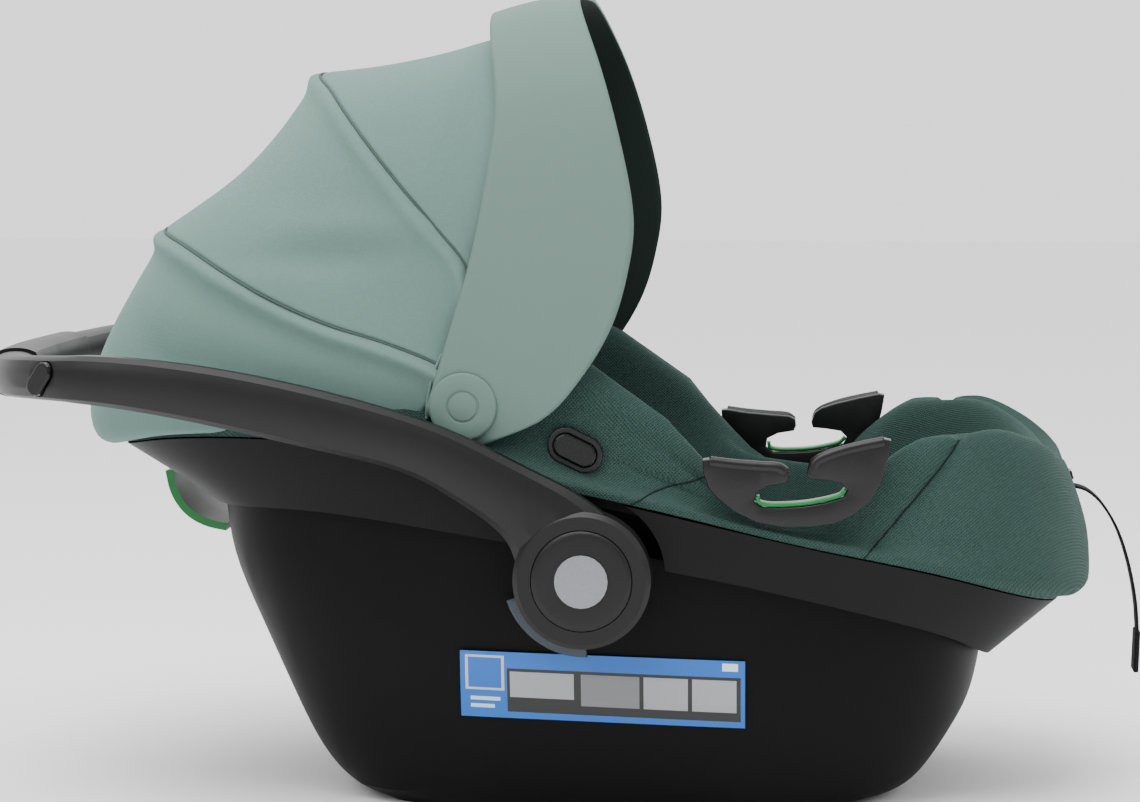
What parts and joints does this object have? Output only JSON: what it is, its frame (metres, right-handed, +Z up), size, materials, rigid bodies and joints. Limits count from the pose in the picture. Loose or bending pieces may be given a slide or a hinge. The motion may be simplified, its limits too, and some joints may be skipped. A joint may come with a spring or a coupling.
{
  "type": "infant car seat",
  "caption": "Rear-facing infant carrier with a swinging carry handle, folding canopy with visor, padded cover, harness and lap belt hooks.",
  "frame": {"origin": "on the floor in the middle plane, straight below the axis that the handle swings on", "axes": "+X towards the foot end, +Y across the seat, +Z up"},
  "size_m": [0.7619, 0.441, 0.5187],
  "materials": {
    "black_plastic": "matt, lightly grained",
    "satin_plastic": "satin",
    "canopy_cloth": "fine woven canopy cloth, light sage",
    "canopy_laminate": "smooth laminated foam, sage",
    "cover_knit": "dimpled knit, dark teal",
    "insert_jersey": "soft jersey, light sage",
    "webbing": "flat woven webbing",
    "green_plastic": "smooth",
    "red_plastic": "smooth",
    "lever_plastic": "smooth",
    "label_film": "printed film, blank",
    "steel": "brushed",
    "silver_trim": "satin silver"
  },
  "bodies": {
    "seat": {"lower_shell": "black_plastic", "seat_bucket": "black_plastic", "seat_cover": "cover_knit", "newborn_insert": "insert_jersey", "buckle_body": "black_plastic", "crotch_strap": "webbing", "crotch_pad": "cover_knit", "adjuster_housing": "black_plastic", "adjuster_strap": "webbing", "strap_end": "webbing", "rear_belt_guide": "green_plastic", "canopy_panel_rear": "canopy_cloth", "shoulder_strap_left": "webbing", "shoulder_strap_right": "webbing", "shoulder_pad_left": "cover_knit", "shoulder_pad_right": "cover_knit", "buckle_tongue_left": "steel", "buckle_tongue_right": "steel", "belt_hook_left": "black_plastic", "belt_hook_right": "black_plastic", "belt_strip_left": "green_plastic", "belt_strip_right": "green_plastic", "side_bezel_left": "black_plastic", "side_bezel_right": "black_plastic", "label_left": "label_film", "label_right": "label_film", "pivot_bolt_left": "steel", "pivot_bolt_right": "steel", "canopy_stud_left": "canopy_laminate", "canopy_stud_right": "canopy_laminate"},
    "handle": {"handle_arm_left": "satin_plastic", "handle_arm_right": "satin_plastic", "handle_grip": "black_plastic", "hub_cap_left": "black_plastic", "hub_cap_right": "black_plastic", "hub_disc_left": "silver_trim", "hub_disc_right": "silver_trim"},
    "canopy_rear_hoop": {"canopy_bow_rear": "black_plastic", "canopy_panel_middle": "canopy_cloth"},
    "canopy_mid_hoop": {"canopy_bow_mid": "black_plastic", "canopy_panel_front": "canopy_cloth"},
    "canopy_front": {"canopy_visor": "canopy_laminate"},
    "headrest": {"headrest": "insert_jersey"},
    "buckle_release": {"buckle_button": "red_plastic"},
    "adjuster_release": {"adjuster_button": "satin_plastic"},
    "handle_release_left": {"handle_button_left": "black_plastic"},
    "handle_lock_left": {"lock_gear_left": "lever_plastic"},
    "side_release_left": {"side_button_left": "satin_plastic"},
    "adapter_lever_left": {"adapter_lever_left": "lever_plastic"},
    "handle_release_right": {"handle_button_right": "black_plastic"},
    "handle_lock_right": {"lock_gear_right": "lever_plastic"},
    "side_release_right": {"side_button_right": "satin_plastic"},
    "adapter_lever_right": {"adapter_lever_right": "lever_plastic"}
  },
  "joints": [
    {"name": "handle_swing", "type": "hinge", "parent": "seat", "child": "handle", "pos_m": [0, 0, 0.155], "axis": [0, 1, 0], "range_deg": [0, 140]},
    {"name": "canopy_fold", "type": "hinge", "parent": "seat", "child": "canopy_rear_hoop", "pos_m": [-0.076, 0, 0.26], "axis": [0, -1, 0], "range_deg": [0, 16], "deforming": ["canopy_panel_rear"]},
    {"name": "canopy_mid_fold", "type": "hinge", "parent": "canopy_rear_hoop", "child": "canopy_mid_hoop", "pos_m": [-0.076, 0, 0.26], "axis": [0, -1, 0], "range_deg": [0, 26], "deforming": ["canopy_panel_middle"]},
    {"name": "canopy_visor_fold", "type": "hinge", "parent": "canopy_mid_hoop", "child": "canopy_front", "pos_m": [-0.076, 0, 0.26], "axis": [0, -1, 0], "range_deg": [0, 22], "deforming": ["canopy_panel_front"]},
    {"name": "headrest_slide", "type": "slide", "parent": "seat", "child": "headrest", "axis": [-0.7894, 0, 0.6139], "range_m": [0, 0.04]},
    {"name": "buckle_press", "type": "slide", "parent": "seat", "child": "buckle_release", "axis": [0, 0, -1], "range_m": [0, 0.003], "stiffness_N_per_m": 500},
    {"name": "adjuster_press", "type": "slide", "parent": "seat", "child": "adjuster_release", "axis": [-1, 0, 0], "range_m": [0, 0.003], "stiffness_N_per_m": 500},
    {"name": "handle_button_left_press", "type": "slide", "parent": "handle", "child": "handle_release_left", "axis": [0.5374, 0.8433, 0], "range_m": [0, 0.0035], "stiffness_N_per_m": 400},
    {"name": "handle_lock_left_slide", "type": "slide", "parent": "handle", "child": "handle_lock_left", "axis": [0, 1, 0], "range_m": [0, 0.0035], "stiffness_N_per_m": 200},
    {"name": "side_button_left_press", "type": "slide", "parent": "seat", "child": "side_release_left", "axis": [0, 1, 0], "range_m": [0, 0.0025], "stiffness_N_per_m": 400},
    {"name": "adapter_lever_left_turn", "type": "hinge", "parent": "seat", "child": "adapter_lever_left", "pos_m": [0, -0.1855, 0.155], "axis": [0, 1, 0], "range_deg": [0, 16], "stiffness_Nm_per_rad": 0.4},
    {"name": "handle_button_right_press", "type": "slide", "parent": "handle", "child": "handle_release_right", "axis": [0.5374, -0.8433, 0], "range_m": [0, 0.0035], "stiffness_N_per_m": 400},
    {"name": "handle_lock_right_slide", "type": "slide", "parent": "handle", "child": "handle_lock_right", "axis": [0, -1, 0], "range_m": [0, 0.0035], "stiffness_N_per_m": 200},
    {"name": "side_button_right_press", "type": "slide", "parent": "seat", "child": "side_release_right", "axis": [0, -1, 0], "range_m": [0, 0.0025], "stiffness_N_per_m": 400},
    {"name": "adapter_lever_right_turn", "type": "hinge", "parent": "seat", "child": "adapter_lever_right", "pos_m": [0, 0.1855, 0.155], "axis": [0, 1, 0], "range_deg": [0, 16], "stiffness_Nm_per_rad": 0.4}
  ],
  "couplings": [
    {"joint": "canopy_mid_fold", "follows": "canopy_fold", "ratio": 1.625},
    {"joint": "canopy_visor_fold", "follows": "canopy_fold", "ratio": 1.375},
    {"joint": "handle_lock_left_slide", "follows": "handle_button_left_press", "ratio": 1},
    {"joint": "handle_lock_right_slide", "follows": "handle_button_right_press", "ratio": 1}
  ]
}
